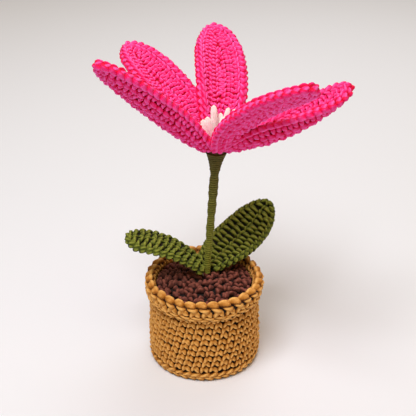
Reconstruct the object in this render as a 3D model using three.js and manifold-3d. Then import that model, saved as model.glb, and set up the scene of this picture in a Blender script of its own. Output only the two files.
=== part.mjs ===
// Crocheted potted lily: a pink flower of cotton yarn on a wrapped wire stem, with two leaves,
// standing in a crocheted pot. Millimetres, +Z up, origin at the centre of the pot's underside.
// The flower opens upwards, and -Y is the front.

import * as THREE from "three";
import { ParametricGeometry } from "three/addons/geometries/ParametricGeometry.js";
import { mergeVertices } from "three/addons/utils/BufferGeometryUtils.js";
import Module from "manifold-3d";

const wasm = await Module();
wasm.setup();

// ---- Driving dimensions ----

const GAP = 0.3; // air between pieces that touch

const POT = {
  footRadius: 35, // outside of the ridge round the foot
  footHeight: 6,
  soleRadius: 32, // flat underside
  waistRadius: 33.6, // outside of the wall under the brim
  wall: 3.2, // thickness of the crocheted wall and base
  wallTop: 45,
  sides: 40,
};

const BRIM = { outerRadius: 36.8, innerRadius: 30.6, bottom: POT.wallTop + GAP, top: 57.5, bulge: 52 };

const BASE_DISC = { radius: 29.6, thickness: 1.5 };

const SOIL = { radius: BRIM.innerRadius - GAP, thickness: 3.4, edgeTop: 51.5, centreTop: 57 };

const STEM = {
  foot: new THREE.Vector3(1.5, 0, SOIL.centreTop), // where it leaves the soil
  top: new THREE.Vector3(7.2, 0, 139.5), // centre of the top of the calyx winding
  wireRadius: 1,
  wireDepth: 44, // how far the wire goes into the filling
  lowRadius: 2.3,
  highRadius: 2.9,
  calyxLength: 12,
  calyxNeck: 3.4,
  calyxRadius: 6.1,
};

const PETAL = {
  halfWidth: 16.6,
  baseHalfWidth: 6.5,
  widest: 0.42, // share of the length at which the petal is widest
  bluntness: 2.6, // how round the tip is
  halfThickness: 2.1,
  start: 3.2, // from the flower's axis to the start of the midline
  foot: 1.5, // height of that start above the calyx
};

// A petal's midline leaves the flower's centre at `azimuth` (degrees, from +X towards +Y) and turns
// by `turn` on its way, while its slope goes from slope[0] to slope[1] degrees. `ease` says how early
// the slope changes, `roll` tilts the petal about its midline, and `cup` is the angle that its width
// is curled through, each from its foot to its tip.
const PETALS = {
  front_right: {
    azimuth: -43, turn: 14, slope: [60, 29], ease: 0.5, roll: [3, -24], cup: [44, 5], length: 82,
  },
  front_left: {
    azimuth: 201, turn: 11, slope: [14, 50], ease: 0.26, roll: [28, 24], cup: [80, 31], length: 85,
  },
  right: {
    azimuth: 3, turn: 19, slope: [8, 51], ease: 1.2, roll: [-28, 8], cup: [103, 80], length: 82,
  },
  back_left: {
    azimuth: 132, turn: -10, slope: [33, 25], ease: 0.9, roll: [0, -11], cup: [47, 67], length: 90,
  },
  back: {
    azimuth: 91, turn: 24, slope: [51, 18], ease: 0.9, roll: [20, -6], cup: [70, 18], length: 92,
  },
};

const LEAF = { widest: 0.5, bluntness: 2.4, halfThickness: 1.9 };

const LEAVES = {
  right: {
    foot: [1.7, 3.8, 58.1], halfWidth: 16, baseHalfWidth: 6.8, widest: 0.36,
    azimuth: 48, turn: -12, slope: [9, 39], ease: 1.5, roll: [-8, 24], cup: [29, 5], length: 66.5,
  },
  left: {
    foot: [-0.6, -2.6, 59.8], halfWidth: 12.8, baseHalfWidth: 5, widest: 0.64, bluntness: 2.9,
    azimuth: 167, turn: 25, slope: [56, -1], ease: 0.6, roll: [16, -3], cup: [-9, -21], length: 53.5,
  },
};

const WIRE = { radius: 0.5, sides: 6, reach: 0.9, petalTail: 3.5, tailRing: 4.3, leafTail: 20 };

const STAMEN = { ring: 2, footRadius: 0.95, firstFoot: 190, sides: 10 };

// The tip of each stamen, from the top of the stem, and its radius there. Their feet stand on a ring.
const STAMENS = [
  { tip: [-8, -1, 19], radius: 2.3 },
  { tip: [-1.6, 3, 26], radius: 1.3 },
  { tip: [3, 7, 20], radius: 1.4 },
  { tip: [8.2, 0.5, 24], radius: 1.6 },
  { tip: [3.6, -2, 18], radius: 1.4 },
];

const COLOURS = {
  pink: 0xe8387e,
  white: 0xf6e8ec,
  leafGreen: 0x5b5d26,
  stemGreen: 0x57522b,
  soilBrown: 0x5f342b,
  tan: 0xb98340,
  filling: 0xf1ede4,
  board: 0xb59a72,
  steel: 0xb8bcc0,
};

// ---- Solids: closed geometry to manifold-3d and back ----

function solidOf(geometry) {
  const bare = new THREE.BufferGeometry();
  bare.setAttribute("position", geometry.getAttribute("position"));
  bare.setIndex(geometry.index);
  const closed = mergeVertices(bare, 1e-4);
  return new wasm.Manifold(
    new wasm.Mesh({
      numProp: 3,
      vertProperties: new Float32Array(closed.attributes.position.array),
      triVerts: new Uint32Array(closed.index.array),
    }),
  );
}

function geometryOf(solid) {
  const mesh = solid.getMesh();
  const geometry = new THREE.BufferGeometry();
  geometry.setAttribute("position", new THREE.BufferAttribute(mesh.vertProperties, 3));
  geometry.setIndex(new THREE.BufferAttribute(mesh.triVerts, 1));
  geometry.computeVertexNormals();
  return geometry;
}

// The piece without the room that its neighbours take. A cut can leave a loose corner, so only the
// main body stays.
function clearOf(piece, neighbours) {
  let rest = piece;
  for (const neighbour of neighbours) {
    rest = rest.subtract(neighbour);
  }
  return rest.decompose().reduce((main, body) => (body.volume() > main.volume() ? body : main));
}

// ---- Basic shapes ----

function turned(profile, sides) {
  const points = profile.map(([radius, height]) => new THREE.Vector2(radius, height));
  return new THREE.LatheGeometry(points, sides).rotateX(Math.PI / 2);
}

function tube(points, radius, sides, steps) {
  const section = new THREE.Shape().absarc(0, 0, radius, 0, 2 * Math.PI);
  return new THREE.ExtrudeGeometry(section, {
    steps,
    curveSegments: sides / 2, // three.js uses two divisions of a full circle for each
    extrudePath: new THREE.CatmullRomCurve3(points),
  });
}

// A shape made upright on the origin, moved to a foot and leant towards a direction.
function stoodAt(geometry, foot, direction) {
  const lean = new THREE.Quaternion().setFromUnitVectors(new THREE.Vector3(0, 0, 1), direction);
  return geometry.applyQuaternion(lean).translate(foot.x, foot.y, foot.z);
}

// ---- Blades: petals and leaves ----

// A blade is a long flat crocheted piece that follows a midline in space.
class Blade {
  static steps = 60;

  constructor(foot, shape) {
    this.shape = shape;
    this.points = [foot.clone()];
    for (let i = 0; i < Blade.steps; i++) {
      const stride = this.direction((i + 0.5) / Blade.steps).multiplyScalar(shape.length / Blade.steps);
      this.points.push(this.points[i].clone().add(stride));
    }
  }

  direction(share) {
    const { azimuth, turn, slope, ease } = this.shape;
    const heading = THREE.MathUtils.degToRad(azimuth + turn * (share - 0.5));
    const rise = THREE.MathUtils.degToRad(THREE.MathUtils.lerp(slope[0], slope[1], share ** ease));
    return new THREE.Vector3(
      Math.cos(rise) * Math.cos(heading),
      Math.cos(rise) * Math.sin(heading),
      Math.sin(rise),
    );
  }

  midline(share) {
    const along = THREE.MathUtils.clamp(share, 0, 1) * Blade.steps;
    const i = Math.min(Math.floor(along), Blade.steps - 1);
    return this.points[i].clone().lerp(this.points[i + 1], along - i);
  }

  halfWidth(share) {
    const { halfWidth, baseHalfWidth, widest, bluntness } = this.shape;
    if (share < widest) {
      return halfWidth - (halfWidth - baseHalfWidth) * (1 - share / widest) ** 2;
    }
    const beyond = (share - widest) / (1 - widest);
    return halfWidth * Math.sqrt(Math.max(0, 1 - beyond ** bluntness));
  }

  // The point at a share of the length, `across` mm from the midline along the curled width and
  // `above` mm over the middle of its thickness.
  point(share, across, above) {
    const { halfWidth, roll, cup } = this.shape;
    const ahead = this.direction(share);
    const side = new THREE.Vector3(0, 0, 1).cross(ahead).normalize();
    const face = ahead.clone().cross(side);
    const tilt = THREE.MathUtils.degToRad(THREE.MathUtils.lerp(roll[0], roll[1], share));
    side.applyAxisAngle(ahead, tilt);
    face.applyAxisAngle(ahead, tilt);
    const curl = THREE.MathUtils.degToRad(THREE.MathUtils.lerp(cup[0], cup[1], share)) / halfWidth;
    const radius = 1 / curl;
    const out = (radius - above) * Math.sin(across * curl);
    const up = radius - (radius - above) * Math.cos(across * curl);
    return this.midline(share).addScaledVector(side, out).addScaledVector(face, up);
  }

  // The closed solid, its section a rounded rectangle, made `extra` mm wider and thicker each way.
  geometry(extra = 0) {
    const stations = 14;
    const sectionPoints = 20;
    const squareness = 0.5;
    const lastShare = 0.997;
    const surface = (u, v, target) => {
      const slice = Math.round(u * (stations + 1)); // the first and last slices are the end points
      const size = slice === 0 || slice === stations + 1 ? 0 : 1;
      const even = THREE.MathUtils.clamp((slice - 1) / (stations - 1), 0, 1);
      const share = lastShare * Math.sin((even * Math.PI) / 2);
      const cos = Math.cos(2 * Math.PI * v);
      const sin = -Math.sin(2 * Math.PI * v); // this way round, the faces point outwards
      const across = (this.halfWidth(share) + extra) * Math.sign(cos) * Math.abs(cos) ** squareness;
      const above = (this.shape.halfThickness + extra) * Math.sign(sin) * Math.abs(sin) ** squareness;
      target.copy(this.point(share, size * across, size * above));
    };
    return new ParametricGeometry(surface, stations + 1, sectionPoints);
  }

  // Points of the wire that runs inside, from its tail to near the tip.
  wirePoints(tail) {
    const inside = [0.08, 0.2, 0.35, 0.5, 0.65, 0.8, WIRE.reach].map((share) => this.midline(share));
    return [...tail, ...inside];
  }
}

// ---- The pot ----

const stemAxis = STEM.top.clone().sub(STEM.foot).normalize();
const stemLength = STEM.top.distanceTo(STEM.foot);

function potCup() {
  const inner = POT.waistRadius - POT.wall;
  return turned(
    [
      [0, 0],
      [POT.soleRadius, 0],
      [POT.footRadius - 0.7, 1.4],
      [POT.footRadius, 3.4],
      [POT.footRadius - 0.4, POT.footHeight],
      [POT.footRadius - 0.3, 16],
      [POT.footRadius - 0.8, 27],
      [POT.waistRadius, 38],
      [POT.waistRadius, POT.wallTop],
      [inner, POT.wallTop],
      [inner, POT.wall],
      [0, POT.wall],
    ],
    POT.sides,
  );
}

function potBrim() {
  const { outerRadius, innerRadius, bottom, top, bulge } = BRIM;
  return turned(
    [
      [innerRadius, bottom],
      [outerRadius - 1.6, bottom],
      [outerRadius - 0.4, bottom + 1.8],
      [outerRadius, bulge],
      [outerRadius - 0.9, top - 2.2],
      [outerRadius - 2.6, top],
      [innerRadius + 1.4, top],
      [innerRadius, top - 1.6],
      [innerRadius, bottom],
    ],
    POT.sides,
  );
}

function baseDisc() {
  const bottom = POT.wall + GAP;
  return turned(
    [
      [0, bottom],
      [BASE_DISC.radius, bottom],
      [BASE_DISC.radius, bottom + BASE_DISC.thickness],
      [0, bottom + BASE_DISC.thickness],
    ],
    POT.sides,
  );
}

// Height of the soil's top at a distance from the pot's axis.
function soilHeight(radius) {
  const { edgeTop, centreTop } = SOIL;
  return edgeTop + (centreTop - edgeTop) * (1 - (radius / SOIL.radius) ** 2);
}

// The domed disc, made `extra` mm thicker each way.
function soilDisc(extra = 0) {
  const radii = [0, 0.3, 0.55, 0.8, 1].map((share) => share * SOIL.radius);
  const upper = radii.map((radius) => [radius, soilHeight(radius) + extra]);
  const lower = radii.map((radius) => [radius, soilHeight(radius) - SOIL.thickness - extra]);
  return turned([...lower, ...upper.reverse()], POT.sides);
}

function filling() {
  const radius = POT.waistRadius - POT.wall - 2 * GAP;
  const bottom = POT.wall + BASE_DISC.thickness + 2 * GAP;
  const dome = [1, 0.8, 0.55, 0.3, 0].map((share) => {
    return [share * radius, soilHeight(share * SOIL.radius) - SOIL.thickness - GAP];
  });
  return turned([[0, bottom], [radius - 3, bottom], [radius, bottom + 5], ...dome], POT.sides);
}

// ---- The stem ----

// A cylinder along the stem's axis, between two heights measured from its foot.
function alongStem(radius, from, to, sides) {
  const rod = turned([[0, from], [radius, from], [radius, to], [0, to]], sides);
  return stoodAt(rod, STEM.foot, stemAxis);
}

function stemWrap() {
  const start = GAP;
  const end = stemLength - STEM.calyxLength - GAP;
  const bore = STEM.wireRadius + GAP;
  const wrap = turned(
    [
      [bore, start],
      [STEM.lowRadius, start],
      [STEM.lowRadius, 0.5 * end],
      [STEM.highRadius, 0.7 * end],
      [STEM.highRadius, end],
      [bore, end],
      [bore, start],
    ],
    16,
  );
  return stoodAt(wrap, STEM.foot, stemAxis);
}

function calyxWrap() {
  const start = stemLength - STEM.calyxLength;
  const bore = STEM.wireRadius + GAP;
  const wrap = turned(
    [
      [bore, start],
      [STEM.calyxNeck, start],
      [STEM.calyxNeck + 0.7, start + 4],
      [STEM.calyxNeck + 1.9, start + 8],
      [STEM.calyxRadius, stemLength - 1],
      [STEM.calyxRadius - 0.5, stemLength],
      [bore, stemLength],
      [bore, start],
    ],
    24,
  );
  return stoodAt(wrap, STEM.foot, stemAxis);
}

function stemWire(extra = 0) {
  const topClearance = 1.5;
  const end = stemLength - topClearance;
  return alongStem(STEM.wireRadius + extra, -STEM.wireDepth - extra, end, 12);
}

// ---- The flower ----

function petalBlade(name) {
  const shape = { ...PETAL, ...PETALS[name] };
  const heading = THREE.MathUtils.degToRad(shape.azimuth);
  const out = new THREE.Vector3(Math.cos(heading), Math.sin(heading), 0).multiplyScalar(PETAL.start);
  return new Blade(STEM.top.clone().add(out).setZ(STEM.top.z + PETAL.foot), shape);
}

// A petal's wire comes up out of the calyx winding and bends into the petal.
function petalWirePoints(blade) {
  const heading = THREE.MathUtils.degToRad(blade.shape.azimuth);
  const out = new THREE.Vector3(Math.cos(heading), Math.sin(heading), 0).multiplyScalar(WIRE.tailRing);
  const mouth = STEM.top.clone().add(out);
  return blade.wirePoints([mouth.clone().addScaledVector(stemAxis, -WIRE.petalTail), mouth]);
}

function stamen(index, extra = 0) {
  const { tip, radius } = STAMENS[index];
  const heading = THREE.MathUtils.degToRad(STAMEN.firstFoot - (360 * index) / STAMENS.length);
  const foot = new THREE.Vector3(Math.cos(heading), Math.sin(heading), 0).multiplyScalar(STAMEN.ring);
  foot.add(STEM.top).setZ(STEM.top.z + 2 * GAP);
  const rise = STEM.top.clone().add(new THREE.Vector3(...tip)).sub(foot);
  const height = rise.length();
  const upright = turned(
    [
      [0, -extra],
      [STAMEN.footRadius + extra, -extra],
      [radius + extra, 0.7 * height],
      [radius + extra, height - radius],
      [0.6 * radius + extra, height - 0.3 * radius],
      [0, height + extra],
    ],
    STAMEN.sides,
  );
  return stoodAt(upright, foot, rise.normalize());
}

// ---- The leaves ----

function leafBlade(name) {
  const shape = { ...LEAF, ...LEAVES[name] };
  return new Blade(new THREE.Vector3(...shape.foot), shape);
}

// A leaf's wire stands in the filling and bends into the leaf at its foot.
function leafWirePoints(blade) {
  const foot = blade.midline(0);
  return blade.wirePoints([
    foot.clone().setZ(foot.z - WIRE.leafTail),
    foot.clone().setZ(foot.z - 0.5 * WIRE.leafTail),
    foot.clone().setZ(foot.z - 2.5),
  ]);
}

// ---- Assembly ----

const lily = new THREE.Group();

function add(name, solid, colour, roughness, metalness = 0) {
  const material = new THREE.MeshStandardMaterial({ color: colour, roughness, metalness });
  const mesh = new THREE.Mesh(geometryOf(solid), material);
  mesh.name = name;
  lily.add(mesh);
}

function wireTube(points, extra = 0) {
  return solidOf(tube(points, WIRE.radius + extra, WIRE.sides, 2 * points.length));
}

const petals = Object.keys(PETALS).map((name) => ({ name, blade: petalBlade(name) }));
const leaves = Object.keys(LEAVES).map((name) => ({ name, blade: leafBlade(name) }));
const petalTracks = petals.map(({ blade }) => petalWirePoints(blade));
const leafTracks = leaves.map(({ blade }) => leafWirePoints(blade));

// Room that the thin inner pieces take from what surrounds them.
const petalWireRoom = petalTracks.map((track) => wireTube(track, GAP));
const leafWireRoom = leafTracks.map((track) => wireTube(track, GAP));
const stemWireRoom = solidOf(stemWire(GAP));
const stamenRoom = STAMENS.map((_, index) => solidOf(stamen(index, GAP)));

add("pot_cup", solidOf(potCup()), COLOURS.tan, 0.9);
add("pot_brim", solidOf(potBrim()), COLOURS.tan, 0.9);
add("base_disc", solidOf(baseDisc()), COLOURS.board, 0.8);
add("filling", clearOf(solidOf(filling()), [stemWireRoom, ...leafWireRoom]), COLOURS.filling, 1);
add("soil_disc", clearOf(solidOf(soilDisc()), [stemWireRoom, ...leafWireRoom]), COLOURS.soilBrown, 0.95);

add("stem_wire", solidOf(stemWire()), COLOURS.steel, 0.4, 1);
add("stem_wrap", solidOf(stemWrap()), COLOURS.stemGreen, 0.9);
add("calyx_wrap", clearOf(solidOf(calyxWrap()), petalWireRoom), COLOURS.stemGreen, 0.9);

const calyxRoom = solidOf(alongStem(STEM.calyxRadius + GAP, 0, stemLength + GAP, 24));
const petalRoom = [calyxRoom, ...petalWireRoom, ...stamenRoom];
petals.forEach(({ name, blade }, index) => {
  add("petal_" + name, clearOf(solidOf(blade.geometry()), petalRoom), COLOURS.pink, 0.85);
  add("petal_wire_" + name, wireTube(petalTracks[index]), COLOURS.steel, 0.4, 1);
  petalRoom.push(solidOf(blade.geometry(GAP)));
});

STAMENS.forEach((_, index) => {
  add("stamen_" + (index + 1), solidOf(stamen(index)), COLOURS.white, 0.85);
});

const stemRoom = solidOf(alongStem(STEM.lowRadius + GAP, -5, 0.4 * stemLength, 16));
const leafRoom = [stemRoom, solidOf(soilDisc(GAP)), ...leafWireRoom];
leaves.forEach(({ name, blade }, index) => {
  add("leaf_" + name, clearOf(solidOf(blade.geometry()), leafRoom), COLOURS.leafGreen, 0.9);
  add("leaf_wire_" + name, wireTube(leafTracks[index]), COLOURS.steel, 0.4, 1);
  leafRoom.push(solidOf(blade.geometry(GAP)));
});

export default lily;
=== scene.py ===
# %% [markdown]
# A crocheted lily in a crocheted pot. Everything that shows on the real one is cotton yarn, pulled
# into loops with a hook. The loops are what the eye reads, so they are real shapes here: each visible
# bit of yarn is a small plump lobe, and a piece of crochet is a thin cloth with hundreds of lobes laid
# on it in the order that the stitches were worked. The engineering model gives the places and sizes.

# %% Load the frame
import math
import random

import bmesh
import bpy
from mathutils import Matrix, Vector


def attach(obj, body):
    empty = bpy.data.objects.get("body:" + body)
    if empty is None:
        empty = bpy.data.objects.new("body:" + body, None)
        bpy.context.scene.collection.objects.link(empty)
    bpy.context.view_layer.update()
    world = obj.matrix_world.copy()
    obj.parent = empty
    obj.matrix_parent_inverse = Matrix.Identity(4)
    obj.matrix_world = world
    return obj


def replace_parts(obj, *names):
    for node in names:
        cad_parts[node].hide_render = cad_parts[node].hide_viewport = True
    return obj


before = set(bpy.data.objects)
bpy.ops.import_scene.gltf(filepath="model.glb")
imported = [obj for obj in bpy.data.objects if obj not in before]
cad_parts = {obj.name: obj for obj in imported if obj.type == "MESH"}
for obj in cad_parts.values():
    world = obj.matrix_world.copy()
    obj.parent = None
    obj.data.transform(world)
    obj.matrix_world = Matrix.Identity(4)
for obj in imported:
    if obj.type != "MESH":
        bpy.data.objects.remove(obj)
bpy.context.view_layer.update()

MM = 0.001
TURN = 2 * math.pi
rng = random.Random(7)

# %% [markdown]
# The camera looks at the plant from a little above, as a person at the table would. It stands in
# front on -Y and is pitched down; a long lens keeps the pot's sides nearly upright.

# %% Camera
camera_data = bpy.data.cameras.new("camera")
camera_data.sensor_width = 36
camera_data.lens = 69.23
camera = bpy.data.objects.new("camera", camera_data)
camera.location = (2.4 * MM, -423 * MM, 322 * MM)
camera.rotation_euler = (math.radians(90 - 27.41), 0, 0)
bpy.context.scene.collection.objects.link(camera)
bpy.context.scene.camera = camera
bpy.context.scene.view_settings.view_transform = "Standard"

# %% [markdown]
# Surfaces first. A petal or a leaf is a long blade: its midline leaves the plant in some direction and
# bends on the way, and its width is curled round the midline like a gutter. One class holds that shape
# as a function from (share of the length, distance across, height above the cloth) to a point, so the
# cloth and every stitch on it can use the same surface.


# %% The blade, the surface of petals and leaves
class Blade:
    steps = 60

    def __init__(self, foot, azimuth, turn, slope, ease, roll, cup, length, half_width,
                 base_half_width, widest, bluntness):
        self.azimuth, self.turn, self.slope, self.ease = azimuth, turn, slope, ease
        self.roll, self.cup, self.length = roll, cup, length * MM
        self.widest_half, self.base_half = half_width * MM, base_half_width * MM
        self.widest, self.bluntness = widest, bluntness
        self.points = [Vector(foot)]
        for i in range(self.steps):
            stride = self.direction((i + 0.5) / self.steps) * (self.length / self.steps)
            self.points.append(self.points[-1] + stride)

    def direction(self, share):
        share = min(max(share, 0), 1)
        heading = math.radians(self.azimuth + self.turn * (share - 0.5))
        rise = math.radians(self.slope[0] + (self.slope[1] - self.slope[0]) * share**self.ease)
        level = math.cos(rise)
        return Vector((level * math.cos(heading), level * math.sin(heading), math.sin(rise)))

    def midline(self, share):
        along = share * self.steps
        i = min(max(int(along), 0), self.steps - 1)
        return self.points[i].lerp(self.points[i + 1], along - i)

    def half_width(self, share):
        if share < self.widest:
            narrowing = (1 - share / self.widest) ** 2
            return self.widest_half - (self.widest_half - self.base_half) * narrowing
        beyond = (share - self.widest) / (1 - self.widest)
        return self.widest_half * math.sqrt(max(0, 1 - beyond**self.bluntness))

    def point(self, share, across, above):
        ahead = self.direction(share)
        side = Vector((0, 0, 1)).cross(ahead).normalized()
        tilt = math.radians(self.roll[0] + (self.roll[1] - self.roll[0]) * share)
        side.rotate(Matrix.Rotation(tilt, 3, ahead))
        face = ahead.cross(side)
        curl = math.radians(self.cup[0] + (self.cup[1] - self.cup[0]) * share) / self.widest_half
        radius = 1 / curl
        out = (radius - above) * math.sin(across * curl)
        up = radius - (radius - above) * math.cos(across * curl)
        return self.midline(share) + side * out + face * up


# %% [markdown]
# A stitch has to sit on its surface and lie along it. This helper takes any surface function and
# returns a matrix at one spot of it, with X along the surface's first direction and Z out of the cloth.
# Both are found by stepping a hair along the surface and a hair off it.


# %% A seat on a surface
def seat(surface, a, b, above, step, face=1):
    """The place at (a, b) of a surface, `above` the cloth on its upper (1) or lower (-1) face."""
    spot = surface(a, b, above * face)
    along = (surface(a + step, b, above * face) - surface(a - step, b, above * face)).normalized()
    out = surface(a, b, (above + 0.1 * MM) * face) - spot
    normal = (out - along * out.dot(along)).normalized()
    beside = normal.cross(along)
    return Matrix((
        (along.x, beside.x, normal.x, spot.x),
        (along.y, beside.y, normal.y, spot.y),
        (along.z, beside.z, normal.z, spot.z),
        (0, 0, 0, 1),
    ))


# %% [markdown]
# The lobe: the short length of yarn that shows between two points where it dives into the work. A
# sphere drawn out along X and filled out at its ends gives it, and bending its ends down makes it look
# pulled into the cloth. Few faces are enough, because thousands of them are laid. Blender's own UV map
# for a sphere runs round it in U and from pole to pole in V, so V follows the yarn and the twist of
# its plies can be raised from it: three ridges that wind round as they go along. One end is fuller,
# because a stitch is pulled tighter where the next one holds it. Each point also keeps how high it
# sits on the lobe, from 0 at the cloth to 1 at the crown, and the yarn material paints shade where it
# is low, between neighbours.


# %% The lobe of yarn
PLIES = 3
TWIST = 1.4
TAPER = 0.2


def lobe(name, around, along, fullness, bow):
    bm = bmesh.new()
    uv = bm.loops.layers.uv.new("UVMap")
    crown = bm.verts.layers.float.new("crown")
    bmesh.ops.create_uvsphere(bm, u_segments=around, v_segments=along, radius=1, calc_uvs=True)
    bmesh.ops.rotate(bm, verts=bm.verts, matrix=Matrix.Rotation(math.radians(90), 3, "Y"))
    for vert in bm.verts:
        u, v = vert.link_loops[0][uv].uv
        # Height on the lobe: the yarn material paints shade where it is low, between neighbours.
        vert[crown] = 0.5 + 0.5 * vert.co.z
        girth = math.hypot(vert.co.y, vert.co.z)
        if girth > 0.01:
            ridge = 1 + 0.15 * math.sin(TURN * (PLIES * u + TWIST * v))
            vert.co.yz = vert.co.yz * (girth ** (fullness - 1) * ridge * (1 + TAPER * vert.co.x))
        vert.co.z -= bow * vert.co.x**2
    for face in bm.faces:
        face.smooth = True
    mesh = bpy.data.meshes.new(name)
    bm.to_mesh(mesh)
    bm.free()
    return mesh


SHORT_LOBE = lobe("short_lobe", 9, 6, 0.75, 0.55)
LONG_LOBE = lobe("long_lobe", 9, 7, 0.6, 0.45)
print("faces in a lobe:", len(SHORT_LOBE.polygons), len(LONG_LOBE.polygons))


# %% [markdown]
# A piece of crochet collects its lobes in one bmesh. Each lobe is a copy of the template, turned about
# the surface's normal, scaled to its own length, width and height, and moved to its seat. A little
# chance in the turn and the size keeps the work from looking machine made, and a fixed seed gives the
# same work every time.


# %% Crochet, which collects lobes
class Crochet:
    def __init__(self, name, slot, jitter=0.07):
        self.name, self.slot, self.jitter = name, slot, jitter
        self.bm = bmesh.new()
        self.count = 0

    def lay(self, template, where, turn, length, width, height, pitch=0.0, lift=0.0):
        """Lay one lobe: turn is about the normal in degrees, sizes are in mm."""
        wobble = lambda: 1 + rng.uniform(-self.jitter, self.jitter)
        spin = Matrix.Rotation(math.radians(turn + 60 * rng.uniform(-self.jitter, self.jitter)), 4, "Z")
        tip = Matrix.Rotation(math.radians(pitch), 4, "Y")
        rise = Matrix.Translation((0, 0, lift * MM))
        size = Matrix.Diagonal((
            length / 2 * MM * wobble(), width / 2 * MM * wobble(), height / 2 * MM * wobble(), 1,
        ))
        mesh = template.copy()
        mesh.transform(where @ rise @ spin @ tip @ size)
        self.bm.from_mesh(mesh)
        bpy.data.meshes.remove(mesh)
        self.count += 1

    def finish(self, material):
        mesh = bpy.data.meshes.new(self.name)
        self.bm.to_mesh(mesh)
        self.bm.free()
        piece = bpy.data.objects.new(self.name, mesh)
        bpy.context.scene.collection.objects.link(piece)
        mesh.materials.append(material)
        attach(piece, "root")
        print(self.name, self.count, "lobes,", len(mesh.polygons), "faces")
        return piece


def piece_from(bm, name, material):
    """A finished object from a bmesh, riding on the plant's one body."""
    for face in bm.faces:
        face.smooth = True
    mesh = bpy.data.meshes.new(name)
    bm.to_mesh(mesh)
    bm.free()
    piece = bpy.data.objects.new(name, mesh)
    bpy.context.scene.collection.objects.link(piece)
    mesh.materials.append(material)
    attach(piece, "root")
    return piece


# %% [markdown]
# Shader maths reads best as arithmetic. One class wraps a socket, and adding or multiplying two of
# them adds the Math node that does it. Every other node comes from one method that takes the node's
# type, its settings and the values or links of its sockets.


# %% Arithmetic on sockets
class Val:
    def __init__(self, tree, socket):
        self.tree, self.socket = tree, socket

    def math(self, operation, *others):
        node = self.tree.nodes.new("ShaderNodeMath")
        node.operation = operation
        for slot, value in zip(node.inputs, (self, *others)):
            if isinstance(value, Val):
                self.tree.links.new(value.socket, slot)
            else:
                slot.default_value = value
        return Val(self.tree, node.outputs[0])

    def __add__(self, other):
        return self.math("ADD", other)

    __radd__ = __add__

    def __mul__(self, other):
        return self.math("MULTIPLY", other)

    __rmul__ = __mul__

    def __sub__(self, other):
        return self.math("SUBTRACT", other)

    def __pow__(self, other):
        return self.math("POWER", other)

    def sin(self):
        return self.math("SINE")

    def clamped(self):
        node = self.tree.nodes.new("ShaderNodeClamp")
        self.tree.links.new(self.socket, node.inputs["Value"])
        return Val(self.tree, node.outputs[0])


class Finish:
    """A material and its node tree, with one method that makes any node."""

    def __init__(self, name):
        self.material = bpy.data.materials.new(name)
        self.material.use_nodes = True
        self.tree = self.material.node_tree
        self.shader = self.tree.nodes["Principled BSDF"]

    def node(self, kind, settings=None, **sockets):
        node = self.tree.nodes.new("ShaderNode" + kind)
        for key, value in (settings or {}).items():
            setattr(node, key, value)
        for key, value in sockets.items():
            socket = node.inputs[int(key[1:])] if key[0] == "_" else node.inputs[key.replace("_", " ")]
            if isinstance(value, Val):
                self.tree.links.new(value.socket, socket)
            else:
                socket.default_value = value
        return [Val(self.tree, output) for output in node.outputs]

    def blend(self, share, first, second):
        return self.node(
            "Mix", {"data_type": "RGBA"}, _0=share, _6=first, _7=second
        )[2]

    def feed(self, **sockets):
        for key, value in sockets.items():
            socket = self.shader.inputs[key.replace("_", " ")]
            if isinstance(value, Val):
                self.tree.links.new(value.socket, socket)
            else:
                socket.default_value = value


def rgb(red, green, blue):
    """A display colour from 0 to 255 as the linear colour that shaders use."""
    shares = [c / 255 for c in (red, green, blue)]
    return tuple(((c + 0.055) / 1.055) ** 2.4 if c > 0.04 else c / 12.92 for c in shares) + (1,)


# %% [markdown]
# Yarn. Three plies are twisted round each other, so a lobe shows slanting grooves, and fine fibres
# stand off it. Shade is painted into its colour: the yarn is painted darker in the grooves, where it
# dives into the work and low between its neighbours, and lighter at its crown, where light falls. The
# painted crevice shade is saturated, not grey, because light that reaches a crevice only comes off yarn
# of the same colour. The UV map gives the grooves and the dives, the crown value gives the height on
# the lobe, and noise on object coordinates gives the fibres and the slow change of colour along a hank.


# %% Yarn material
def yarn(name, crevice_shade, middle, light, wound=False):
    finish = Finish(name)
    place = finish.node("TexCoord")[3]
    crown = finish.node("Attribute", {"attribute_name": "crown"})[2]
    fibres = finish.node("TexNoise", _0=place, Scale=1500.0, Detail=3.0, Roughness=0.65)[0]
    cloud = finish.node("TexNoise", _0=place, Scale=260.0, Detail=2.0)[0]
    # Painted shade: the yarn is darker low on the lobe, between neighbours.
    height = ((crown - 0.42) * 1.9).clamped() ** 0.8
    if wound:
        groove = fibres
        shade = height
        # From 70 mm up the stem yarn is blended towards a darker brown-green.
        upper = ((finish.node("SeparateXYZ", _0=place)[2] - 0.07) * 16).clamped()
    else:
        uv = finish.node("UVMap", {"uv_map": "UVMap"})[0]
        around, along, _ = finish.node("SeparateXYZ", _0=uv)
        # Ply grooves, for the bump and for painted shade in the grooves.
        groove = ((around * PLIES + along * TWIST) * TURN).sin() * 0.5 + 0.5
        # Painted shade where the yarn dives into the work, towards the lobe's ends.
        shade = height * ((along * math.pi).sin() * 1.3).clamped() ** 0.7
    tone = (shade * (0.66 + 0.34 * groove) + (fibres - 0.5) * 0.55 + (cloud - 0.5) * 0.55).clamped()
    # Painted crevice shade, then the middle tone, then painted light at the crown.
    body = finish.blend((tone * 2.2).clamped(), crevice_shade, middle)
    colour = finish.blend((tone * 2 - 0.95).clamped(), body, light)
    if wound:
        colour = finish.blend(upper, colour, finish.blend(tone, rgb(42, 36, 14), rgb(104, 96, 44)))
    bump = finish.node("Bump", Strength=1.0, Distance=0.0004, Height=groove * 0.6 + fibres * 0.7)[0]
    finish.feed(Base_Color=colour, Roughness=fibres * 0.2 + 0.55, Normal=bump)
    finish.feed(Sheen_Weight=0.03, Sheen_Roughness=0.4, Specular_IOR_Level=0.2)
    return finish.material


# Each yarn has a painted crevice shade, a middle tone and a painted lit crown colour.
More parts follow.
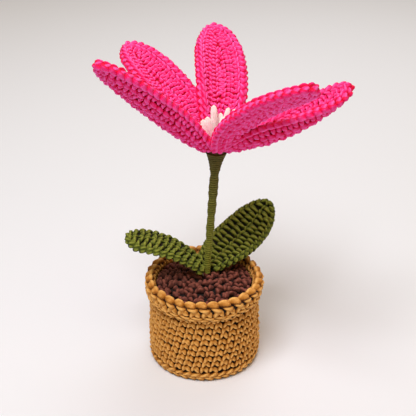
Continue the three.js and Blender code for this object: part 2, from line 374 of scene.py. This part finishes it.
pink_yarn = yarn("pink yarn", rgb(242, 0, 66), rgb(250, 27, 122), rgb(255, 100, 192))
tan_yarn = yarn("tan yarn", rgb(78, 36, 5), rgb(190, 124, 46), rgb(246, 190, 108))
brown_yarn = yarn("brown yarn", rgb(18, 6, 5), rgb(80, 40, 34), rgb(140, 80, 68))
leaf_yarn = yarn("leaf yarn", rgb(22, 27, 3), rgb(84, 96, 26), rgb(146, 156, 62))
stem_yarn = yarn("stem yarn", rgb(44, 48, 8), rgb(100, 108, 32), rgb(150, 154, 62), wound=True)
white_yarn = yarn("white yarn", rgb(246, 228, 226), rgb(255, 250, 248), rgb(255, 255, 255))


# %% [markdown]
# Between the lobes the eye sees the inside of the work, in shadow. A thin cloth under the stitches gives
# that; its dark colour, below the yarn's deepest tone, is painted shade.


# %% Cloth material, painted shade
def shaded_ground_cloth(name, dark, less_dark):
    finish = Finish(name)
    place = finish.node("TexCoord")[3]
    spots = finish.node("TexNoise", _0=place, Scale=900.0, Detail=3.0)[0]
    # The cloth's colour is painted shade, for the shadowed inside of the work.
    finish.feed(Base_Color=finish.blend(spots, dark, less_dark), Roughness=0.95)
    finish.feed(Normal=finish.node("Bump", Strength=0.6, Distance=0.0004, Height=spots)[0])
    return finish.material


pink_shaded_ground = shaded_ground_cloth("pink shaded inside", rgb(176, 0, 36), rgb(214, 0, 52))
tan_shaded_ground = shaded_ground_cloth("tan shaded inside", rgb(12, 6, 2), rgb(40, 20, 6))
brown_shaded_ground = shaded_ground_cloth("brown shaded inside", rgb(6, 3, 2), rgb(18, 8, 6))
leaf_shaded_ground = shaded_ground_cloth("leaf shaded inside", rgb(8, 9, 1), rgb(22, 24, 4))


# %% [markdown]
# The petals. Each was worked round and round a centre line, in stitches that stand across it and
# chains that run along it, and edged with two rounds that show as a braid. Laying every round at its
# own distance from the rim follows that, and the rounds close up at the tip as they do in the hand.
# The numbers are the same as the engineering model's: direction, slope, curl.

# %% Petal surfaces
stem_top = Vector((7.2, 0, 139.5)) * MM
PETAL_START = 3.2
PETAL_FOOT = 1.5
PETAL_FORM = dict(half_width=16.6, base_half_width=6.5, widest=0.42, bluntness=2.6)
PETALS = {
    "front_right": dict(
        azimuth=-43, turn=14, slope=(60, 29), ease=0.5,
        roll=(3, -24), cup=(44, 5), length=82,
    ),
    "front_left": dict(
        azimuth=201, turn=11, slope=(14, 50), ease=0.26,
        roll=(28, 24), cup=(80, 31), length=85,
    ),
    "right": dict(
        azimuth=3, turn=19, slope=(8, 51), ease=1.2,
        roll=(-28, 8), cup=(103, 80), length=82,
    ),
    "back_left": dict(
        azimuth=132, turn=-10, slope=(33, 25), ease=0.9,
        roll=(0, -11), cup=(47, 67), length=90,
    ),
    "back": dict(
        azimuth=91, turn=24, slope=(51, 18), ease=0.9,
        roll=(20, -6), cup=(70, 18), length=92,
    ),
}


def petal_blade(name):
    heading = math.radians(PETALS[name]["azimuth"])
    out = Vector((math.cos(heading), math.sin(heading), 0)) * PETAL_START * MM
    return Blade(stem_top + out + Vector((0, 0, PETAL_FOOT * MM)), **PETALS[name], **PETAL_FORM)


# %% [markdown]
# Under the stitches lies the cloth, which shows only in the gaps, in a colour of painted shade. A flat
# grid is put on the blade's surface and given a thickness. It stops a little short of the rim, so that
# the edging covers it. Its flat size is printed.

# %% Cloth of a blade
CLOTH_INSET = 2.2


def blade_cloth(name, blade, thickness, material, rows=40, columns=12):
    """A thin closed cloth on the blade's middle surface, a little smaller than its outline."""
    bm = bmesh.new()
    bmesh.ops.create_grid(bm, x_segments=rows, y_segments=columns, size=1)
    for vert in bm.verts:
        share = 0.02 + 0.965 * math.sin((vert.co.x + 1) * math.pi / 4)
        across = vert.co.y * max(blade.half_width(share) - CLOTH_INSET * MM, 0.3 * MM)
        vert.co = blade.point(share, across, thickness / 2 * MM)
    bmesh.ops.recalc_face_normals(bm, faces=bm.faces)
    bmesh.ops.solidify(bm, geom=bm.faces, thickness=thickness * MM)
    bmesh.ops.recalc_face_normals(bm, faces=bm.faces)
    return piece_from(bm, name, material)


def declare_cloth(cloth, blade, stitches):
    """The cloth was worked flat, and the wire at its back holds it in its curve."""
    steps = 200
    halves = [max(blade.half_width((i + 0.5) / steps) - CLOTH_INSET * MM, 0) for i in range(steps)]
    flat = (2 * (blade.widest_half - CLOTH_INSET * MM), 0.965 * blade.length)
    area = 2 * sum(halves) / steps * flat[1]
    print(cloth.name, "flat size in mm:", [round(side / MM, 1) for side in flat])


# %% [markdown]
# A round of stitches runs up one side, round the tip and down the other at one distance from the rim.
# Its spots are found by walking along that line and stopping at every pitch. A stitch there looks out
# of the upper face, out of the lower face, or off the edge, where the beads of the rim are.

# %% Rounds of stitches that follow the rim
def rim_stations(blade, pitch, inset):
    """Evenly spaced spots along the rim: up one side, round the tip and down the other."""
    side = []
    for step in range(401):
        share = 0.03 + 0.965 * math.sin(step / 400 * math.pi / 2)
        across = blade.half_width(share) - inset * MM
        if across > 0.4 * MM:
            side.append((share, across))
    path = side + [(share, -across) for share, across in reversed(side)]
    places, gone = [path[0]], 0.0
    for before, after in zip(path, path[1:]):
        gone += (blade.point(*after, 0) - blade.point(*before, 0)).length
        if gone >= pitch * MM:
            places.append(after)
            gone = 0.0
    return places


def rim_seat(blade, spots, i, above, face):
    """A seat with X along the rim and Z out of the upper (1) or lower (-1) face, or off the edge (0)."""
    before, after = spots[max(i - 1, 0)], spots[min(i + 1, len(spots) - 1)]
    where = seat(blade.point, *spots[i], above * MM, 0.01, face or 1)
    along = (blade.point(*after, 0) - blade.point(*before, 0)).normalized()
    out = where.col[2].to_3d()
    along = (along - out * along.dot(out)).normalized()
    if face == 0:
        out = out.cross(along)
    beside = out.cross(along)
    for row in range(3):
        where[row][0], where[row][1], where[row][2] = along[row], beside[row], out[row]
    return where


def blade_rounds(work, blade, rounds):
    """Each round lists inset, above, face, pitch, slant and the lobe's length, width and height."""
    for inset, above, face, pitch, slant, length, width, height in rounds:
        spots = rim_stations(blade, pitch, inset)
        for i in range(len(spots)):
            where = rim_seat(blade, spots, i, above, face)
            loose = 1 if inset < 5 else 2
            turn = slant * (face or 1) + rng.uniform(-8, 8) * loose
            work.lay(LONG_LOBE, where, turn, length, width, height, lift=rng.uniform(-0.2, 0.22) * loose)


# %% Make the petals
PETAL_RIM = [
    (2.0, 0.0, 0, 4.3, 14, 6.0, 3.3, 3.2),
    (2.6, 1.5, 1, 4.3, 22, 6.4, 2.8, 2.7),
    (4.9, 1.5, 1, 4.3, -22, 6.0, 2.5, 2.5),
]
PETAL_INSIDE = [
    (7.1, 1.2, 1, 2.8, 72, 3.9, 2.5, 2.8),
    (9.5, 1.1, 1, 3.4, 34, 4.2, 2.5, 2.7),
    (11.9, 1.2, 1, 2.8, 68, 3.9, 2.5, 2.8),
    (14.2, 1.1, 1, 3.4, -34, 4.2, 2.5, 2.7),
    (16.0, 1.1, 1, 2.8, 60, 3.7, 2.4, 2.6),
]
PETAL_OUTSIDE = [
    (2.6, 1.7, -1, 4.3, 24, 6.2, 3.1, 3.2),
    (5.3, 1.5, -1, 3.1, 76, 4.0, 2.8, 3.2),
    (8.0, 1.7, -1, 4.4, 24, 5.8, 2.9, 3.2),
    (11.0, 1.5, -1, 3.1, 76, 4.2, 2.8, 3.2),
    (13.9, 1.6, -1, 4.4, -20, 5.6, 2.9, 3.1),
    (15.9, 1.4, -1, 4.4, 10, 4.8, 2.6, 2.8),
]
for name in PETALS:
    blade = petal_blade(name)
    cloth = blade_cloth("petal_cloth_" + name, blade, 1.2, pink_shaded_ground)
    work = Crochet("petal_stitches_" + name, "pink_yarn")
    blade_rounds(work, blade, PETAL_RIM + PETAL_INSIDE + PETAL_OUTSIDE)
    declare_cloth(cloth, blade, work.finish(pink_yarn))
    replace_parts(cloth, "petal_" + name)

# %% [markdown]
# The leaves are worked the other way: long posts stand on a centre chain, on both sides of it, and a
# chain of V stitches edges them.

# %% Make the leaves
LEAF_FORM = dict(widest=0.5, bluntness=2.4)
LEAVES = {
    "right": dict(
        foot=Vector((1.7, 3.8, 58.1)) * MM, half_width=16, base_half_width=6.8, widest=0.36,
        azimuth=48, turn=-12, slope=(9, 39), ease=1.5, roll=(-8, 24), cup=(29, 5), length=66.5,
    ),
    "left": dict(
        foot=Vector((-0.6, -2.6, 59.8)) * MM, half_width=12.8, base_half_width=5, widest=0.64,
        bluntness=2.9, azimuth=167, turn=25, slope=(56, -1), ease=0.6, roll=(16, -3), cup=(-9, -21),
        length=53.5,
    ),
}
LEAF_RIM = [
    (1.2, 0.0, 0, 4.2, 8, 4.8, 3.3, 3.2),
    (1.8, 1.4, 1, 4.2, 26, 5.2, 2.4, 2.3),
    (1.8, 1.4, -1, 4.2, 26, 5.2, 2.4, 2.3),
]


def leaf_posts(work, blade, face, pitch):
    """Two posts, one after the other, on each side of a chain of small lobes."""
    rows = int(blade.length / (pitch * MM))
    for row in range(rows):
        share = (row + 0.6) / rows
        reach = blade.half_width(share) / MM - 3.6
        posts = max(1, round(reach / 5.2))
        for hand in (1, -1):
            for post in range(posts if reach > 2 else 0):
                middle = 1.0 + reach * (post + 0.5) / posts
                spot = share + (0.25 * post + rng.uniform(-0.1, 0.1)) / rows
                where = seat(blade.point, spot, hand * middle * MM, 1.2 * MM, 0.01, face)
                turn = 80 * face + rng.uniform(-12, 12)
                work.lay(LONG_LOBE, where, turn, reach / posts + 1.9, 2.9, 3.2, lift=rng.uniform(-0.2, 0.4))
        where = seat(blade.point, share, 0, 1.3 * MM, 0.01, face)
        work.lay(SHORT_LOBE, where, 20 * (-1) ** row, pitch * 1.3, 2.2, 2.4)


for name, form in LEAVES.items():
    blade = Blade(**{**LEAF_FORM, **form})
    cloth = blade_cloth("leaf_cloth_" + name, blade, 1.2, leaf_shaded_ground, rows=30, columns=10)
    work = Crochet("leaf_stitches_" + name, "leaf_yarn", jitter=0.1)
    for face in (1, -1):
        leaf_posts(work, blade, face, 3.7)
    blade_rounds(work, blade, LEAF_RIM)
    declare_cloth(cloth, blade, work.finish(leaf_yarn))
    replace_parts(cloth, "leaf_" + name)

# %% [markdown]
# The pot. Its wall is single crochet in the round: every stitch shows as a V, and each round's stitches
# sit a little to one side of those below, so the columns lean.

# %% Pot surfaces
WALL_PROFILE = [(0, 32), (1.4, 34.2), (3.4, 34.9), (6, 34.5), (16, 34.6), (27, 34.1), (38, 33.5), (46, 33.4)]


def wall_radius(height):
    for (z0, r0), (z1, r1) in zip(WALL_PROFILE, WALL_PROFILE[1:]):
        if height <= z1:
            return r0 + (r1 - r0) * max(0, (height - z0) / (z1 - z0))
    return WALL_PROFILE[-1][1]


def wall(turn, height, above):
    """turn is in turns about the pot's axis, height in mm."""
    radius = (wall_radius(height)) * MM + above
    return Vector((radius * math.cos(TURN * turn), radius * math.sin(TURN * turn), height * MM))


def turned_shell(name, profile, material, steps=72):
    """A profile of (radius, height) in mm spun about the pot's axis."""
    bm = bmesh.new()
    verts = [bm.verts.new((r * MM, 0, z * MM)) for r, z in profile]
    edges = [bm.edges.new(pair) for pair in zip(verts, verts[1:])]
    bmesh.ops.spin(
        bm, geom=verts + edges, cent=(0, 0, 0), axis=(0, 0, 1), angle=TURN, steps=steps, use_merge=True
    )
    bmesh.ops.remove_doubles(bm, verts=bm.verts, dist=1e-6)
    bmesh.ops.recalc_face_normals(bm, faces=bm.faces)
    return piece_from(bm, name, material)


# %% Pot wall
cup_inside = 30.4
cup_shell = turned_shell(
    "pot_ground",
    [(0, 0.6), (31, 0.6), (33.4, 3), (33.2, 16), (32.7, 27), (32.2, 38), (32, 45), (cup_inside, 45),
     (cup_inside, 3.2), (0, 3.2)],
    tan_shaded_ground,
)
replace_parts(cup_shell, "pot_cup")
STITCHES_ROUND = 38
ROUND_PITCH = 3.95
work = Crochet("pot_stitches", "tan_yarn", jitter=0.11)
for level in range(10):
    height = 8.4 + level * ROUND_PITCH
    for i in range(STITCHES_ROUND):
        for hand in (-1, 1):
            turn = (i + 0.25 * hand + 0.2 * level) / STITCHES_ROUND
            spot = height + rng.uniform(-0.45, 0.45)
            where = seat(wall, turn, spot, -0.8 * MM, 0.004)
            lean = 90 - hand * (28 + rng.uniform(-13, 13))
            work.lay(SHORT_LOBE, where, lean, 5.1, 2.7, 3.2, lift=rng.uniform(-0.4, 0.4))
for i in range(40):
    where = seat(wall, i / 40, 4.6, -0.5 * MM, 0.004)
    work.lay(LONG_LOBE, where, 16, 7.2, 2.6, 2.8)
    where = seat(wall, (i + 0.5) / 40, 2.1, -0.8 * MM, 0.004)
    work.lay(LONG_LOBE, where, -14, 7.0, 2.6, 2.4)
for ring in range(1, 7):
    radius = 4.9 * ring
    around = max(6, round(TURN * radius / 6.2))
    for i in range(around):
        for hand in (-1, 1):
            turn = (i + 0.25 * hand) / around * TURN
            spot = Vector((radius * math.cos(turn), radius * math.sin(turn), 1.15)) * MM
            downwards = Matrix.Rotation(turn, 4, "Z") @ Matrix.Rotation(math.pi, 4, "X")
            where = Matrix.Translation(spot) @ downwards
            work.lay(SHORT_LOBE, where, 24 * hand, 6.2, 2.8, 1.9)
work.finish(tan_yarn)

# %% [markdown]
# The brim is the top of the pot turned over, so it is two layers thick. Fat slanting loops lie along
# its top, a row of V stitches below them, and two long strands make the ridge at its lower border.

# %% Brim
BRIM_STITCHES = 31
brim_ground = turned_shell(
    "brim_ground",
    [(31.2, 45.2), (35.2, 45.2), (35.4, 53), (33.6, 55.6), (32, 55.4), (31.2, 53), (31.2, 45.2)],
    tan_shaded_ground,
)
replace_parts(brim_ground, "pot_brim")


def brim(turn, height, above):
    radius = 35.2 * MM + above
    return Vector((radius * math.cos(TURN * turn), radius * math.sin(TURN * turn), height * MM))


def brim_inside(turn, height, above):
    radius = 31.6 * MM - above
    return Vector((radius * math.cos(TURN * turn), radius * math.sin(TURN * turn), height * MM))


def brim_top(turn, radius, above):
    angle = TURN * turn
    return Vector((radius * MM * math.cos(angle), radius * MM * math.sin(angle), 54.6 * MM + above))


work = Crochet("brim_stitches", "tan_yarn", jitter=0.1)
for i in range(BRIM_STITCHES):
    turn = i / BRIM_STITCHES
    where = seat(brim_top, turn, 33.6, 0.5 * MM, 0.004)
    work.lay(LONG_LOBE, where, -22 + rng.uniform(-9, 9), 8.6, 4.5, 4.9, lift=rng.uniform(-0.4, 0.5))
    where = seat(brim, turn + 0.010, 53.0, 0.1 * MM, 0.004)
    work.lay(LONG_LOBE, where, -26 + rng.uniform(-8, 8), 7.8, 3.4, 3.8, lift=rng.uniform(-0.3, 0.3))
    for hand in (-1, 1):
        where = seat(brim, turn + hand * 0.0085, 49.9 + rng.uniform(-0.4, 0.4), 0.0, 0.004)
        work.lay(SHORT_LOBE, where, 90 - hand * (36 + rng.uniform(-10, 10)), 5.4, 3.3, 3.6)
    where = seat(brim, turn + 0.02, 47.6, 0.2 * MM, 0.004)
    work.lay(LONG_LOBE, where, -12, 8.4, 2.1, 2.6)
    where = seat(brim, turn + 0.005, 46.1, 0.0, 0.004)
    work.lay(LONG_LOBE, where, -6, 8.0, 1.9, 2.4)
    for height, lean in ((52.6, 25), (49.0, -25)):
        for half_step, hand in ((0, 1), (0.5, -1)):
            where = seat(brim_inside, turn + half_step / BRIM_STITCHES, height, 0.0, 0.004)
            work.lay(SHORT_LOBE, where, 90 + hand * lean, 5.4, 3.2, 2.8)
work.finish(tan_yarn)

# %% [markdown]
# The soil is a disc of dark brown crochet, pushed up in the middle by the stuffing. Its loops are
# worked loosely and lie every way, so each takes a large share of chance in its place, turn and height.

# %% Soil
SOIL_RADIUS = 30.3
SOIL_EDGE = 51.5
SOIL_CENTRE = 57.0


def soil(turn, radius, above):
    height = SOIL_EDGE + (SOIL_CENTRE - SOIL_EDGE) * (1 - (radius / SOIL_RADIUS) ** 2)
    return Vector((
        radius * MM * math.cos(TURN * turn), radius * MM * math.sin(TURN * turn), height * MM + above,
    ))


soil_profile = [(r, soil(0, r, 0).z / MM - 2.0) for r in (0, 6, 12, 18, 24, 29)]
soil_ground = turned_shell(
    "soil_ground", soil_profile + [(29.8, 50), (29.6, 48.4), (20, 50.2), (0, 53.4)],
    brown_shaded_ground,
)
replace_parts(soil_ground, "soil_disc")
work = Crochet("soil_stitches", "brown_yarn", jitter=0.2)
for ring in range(8):
    radius = 2.2 + 3.75 * ring
    around = max(5, round(TURN * radius / 3.3))
    for i in range(around):
        turn = (i + 0.3 * ring + rng.uniform(-0.25, 0.25)) / around
        where = seat(soil, turn, min(radius + rng.uniform(-1.4, 1.4), 28.4), -1.4 * MM, 0.004)
        lean = 90 + (50 if i % 2 else -50) + rng.uniform(-40, 40)
        work.lay(SHORT_LOBE, where, lean, 5.0, 3.5, 4.3, lift=rng.uniform(-0.9, 0.7))
work.finish(brown_yarn)

# %% [markdown]
# The stem is a wire with yarn wound round it, turn against turn. A circle of yarn spun with a rise per
# step gives the winding in one operator, and its turns are then moved out where the calyx swells.

# %% Wound yarn
def winding(name, node, foot, top, radius_at, yarn_radius, pitch, material):
    """Yarn wound from foot to top; radius_at(share) is the outer radius in mm."""
    axis = top - foot
    turns = axis.length / (pitch * MM)
    steps_each = 14
    bm = bmesh.new()
    crown = bm.verts.layers.float.new("crown")
    ring = bmesh.ops.create_circle(
        bm, segments=6, radius=yarn_radius * MM,
        matrix=Matrix.Translation((2 * MM, 0, 0)) @ Matrix.Rotation(math.pi / 2, 4, "X"),
    )["verts"]
    edges = list({e for v in ring for e in v.link_edges})
    bmesh.ops.spin(
        bm, geom=ring + edges, cent=(0, 0, 0), axis=(0, 0, 1), dvec=(0, 0, pitch * MM / steps_each),
        angle=TURN * turns, steps=round(turns * steps_each),
    )
    bmesh.ops.recalc_face_normals(bm, faces=bm.faces)
    for vert in bm.verts:
        share = min(max(vert.co.z / axis.length, 0), 1)
        distance = math.hypot(vert.co.x, vert.co.y)
        # Height on the turn, from which the yarn material paints shade between turns.
        vert[crown] = 0.5 + (distance / MM - 2) / (2 * yarn_radius)
        grown = distance + (radius_at(share) - 2 - yarn_radius) * MM
        vert.co.x *= grown / distance
        vert.co.y *= grown / distance
    lean = Vector((0, 0, 1)).rotation_difference(axis.normalized()).to_matrix().to_4x4()
    bmesh.ops.transform(bm, matrix=Matrix.Translation(foot) @ lean, verts=bm.verts)
    piece = piece_from(bm, name, material)
    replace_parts(piece, node)
    return piece


stem_foot = Vector((1.5, 0, 57)) * MM
stem_axis = (stem_top - stem_foot).normalized()
calyx_foot = stem_top - stem_axis * 12 * MM


def stem_radius(share):
    uneven = 0.16 * math.sin(31 * share) + 0.13 * math.sin(83 * share + 1)
    knot = 0.5 * math.exp(-(((share - 0.79) / 0.02) ** 2))
    return 2.15 + 0.7 * share + uneven + knot


winding("stem_winding", "stem_wrap", stem_foot, calyx_foot, stem_radius, 0.8, 1.5, stem_yarn)


def calyx_radius(share):
    return 3.2 + 3.4 * share**1.5 + 0.15 * math.sin(38 * share)


winding("calyx_winding", "calyx_wrap", calyx_foot, stem_top, calyx_radius, 0.8, 1.4, stem_yarn)

# %% [markdown]
# The petals' ends are gathered inside the calyx, and the winding goes round them, so there is no
# hollow to look into. A cone of the same yarn stands for the gathered ends.

# %% Gathered ends inside the calyx
core = bmesh.new()
crown = core.verts.layers.float.new("crown")
lean = Vector((0, 0, 1)).rotation_difference(stem_axis).to_matrix().to_4x4()
bmesh.ops.create_cone(
    core, cap_ends=True, segments=24, radius1=2.4 * MM, radius2=5.6 * MM, depth=13.4 * MM,
    matrix=Matrix.Translation((calyx_foot + stem_top) / 2 + stem_axis * 0.9 * MM) @ lean,
)
for vert in core.verts:
    vert[crown] = 0.75
piece_from(core, "calyx_core", stem_yarn)

# %% [markdown]
# The stamens are short loops of white yarn that stand in the middle of the flower. Each is one to
# three strands side by side, fanned a little, from a ring on top of the winding to its own tip. They
# are fuller than the plain rods of the engineering model, and those at the right stand further out.

# %% Stamens
STAMENS = [
    ((-8, -1, 19), 3, 3.9), ((-1.8, 3, 25.5), 1, 4.2), ((3, 7, 20), 1, 3.4),
    ((10.2, 0.5, 25.5), 3, 3.6), ((5, -1, 20.5), 2, 3.4),
]
viewer = Vector((0, -1, 0.5)).normalized()
for i, (tip, strands, thickness) in enumerate(STAMENS):
    heading = math.radians(190 - 72 * i)
    foot = stem_top + Vector((2 * math.cos(heading), 2 * math.sin(heading), 1.4)) * MM
    rise = stem_top + Vector(tip) * MM - foot
    up = rise.normalized()
    side = viewer.cross(up).normalized()
    front = up.cross(side)
    work = Crochet(f"stamen_yarn_{i + 1}", "white_yarn", jitter=0.05)
    for strand in range(strands):
        beside = strand - (strands - 1) / 2
        middle = foot + rise * 0.55 + side * beside * thickness * 0.62 * MM
        where = Matrix((
            (up.x, side.x, front.x, middle.x),
            (up.y, side.y, front.y, middle.y),
            (up.z, side.z, front.z, middle.z),
            (0, 0, 0, 1),
        ))
        length = rise.length / MM * (0.98 - 0.06 * strand)
        work.lay(LONG_LOBE, where, 7 * beside, length, thickness, thickness)
    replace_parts(work.finish(white_yarn), f"stamen_{i + 1}")

# %% [markdown]
# The wires, the stuffing and the base disc are hidden inside. Their engineering shapes are right as
# they are, so they only get a material.

# %% Hidden pieces keep their own shape and get their material
def plain_finish(name, first, second, scale, roughness, metallic=0.0):
    finish = Finish(name)
    place = finish.node("TexCoord")[3]
    grain = finish.node("TexNoise", _0=place, Scale=scale, Detail=4.0)[0]
    finish.feed(Base_Color=finish.blend(grain, first, second), Roughness=grain * 0.2 + roughness)
    finish.feed(Normal=finish.node("Bump", Strength=0.3, Distance=0.0002, Height=grain)[0])
    finish.feed(Metallic=metallic)
    return finish.material


stuffing = plain_finish("fibrefill", rgb(225, 220, 208), rgb(245, 242, 235), 300.0, 0.8)
pressed_board = plain_finish("pressed board", rgb(150, 125, 92), rgb(184, 158, 120), 800.0, 0.75)
bright_wire = plain_finish("bright wire", rgb(165, 168, 172), rgb(200, 203, 206), 600.0, 0.25, 1.0)
for name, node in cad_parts.items():
    material = bright_wire if "wire" in name else {"filling": stuffing, "base_disc": pressed_board}.get(name)
    if material:
        node.data.materials.clear()
        node.data.materials.append(material)

# %% [markdown]
# The plant stands on a plain pale floor in soft light from large lamps: one above and in front, a weak
# warm one at the right, and one behind that lights the floor. The room's own light is warm, because
# light that comes back from a table is.

# %% Floor and light
floor_bm = bmesh.new()
bmesh.ops.create_grid(floor_bm, x_segments=1, y_segments=1, size=3)
floor_mesh = bpy.data.meshes.new("floor")
floor_bm.to_mesh(floor_mesh)
floor_bm.free()
floor = bpy.data.objects.new("floor", floor_mesh)
bpy.context.scene.collection.objects.link(floor)
floor_finish = Finish("pale floor")
floor_finish.feed(Base_Color=rgb(236, 241, 254), Roughness=0.9)
floor_mesh.materials.append(floor_finish.material)


def soft_light(name, place, size, power, colour, target=(0, 0, 0.1)):
    data = bpy.data.lights.new(name, "AREA")
    data.size, data.energy, data.color = size, power, colour
    light = bpy.data.objects.new(name, data)
    light.location = place
    light.rotation_euler = (Vector(target) - Vector(place)).to_track_quat("-Z", "Y").to_euler()
    bpy.context.scene.collection.objects.link(light)


soft_light("key", (-0.22, -0.38, 1.1), 0.55, 9.8, (1, 0.98, 0.95))
soft_light("fill", (0.8, -0.6, 0.5), 0.9, 1.5, (1, 0.76, 0.44))
soft_light("back", (0.2, 0.7, 0.9), 0.8, 4.0, (1, 0.98, 0.95), target=(0, 0.6, 0))
world = bpy.data.worlds.new("studio")
bpy.context.scene.world = world
world.use_nodes = True
world.node_tree.nodes["Background"].inputs["Color"].default_value = (1, 0.76, 0.46, 1)
world.node_tree.nodes["Background"].inputs["Strength"].default_value = 0.28
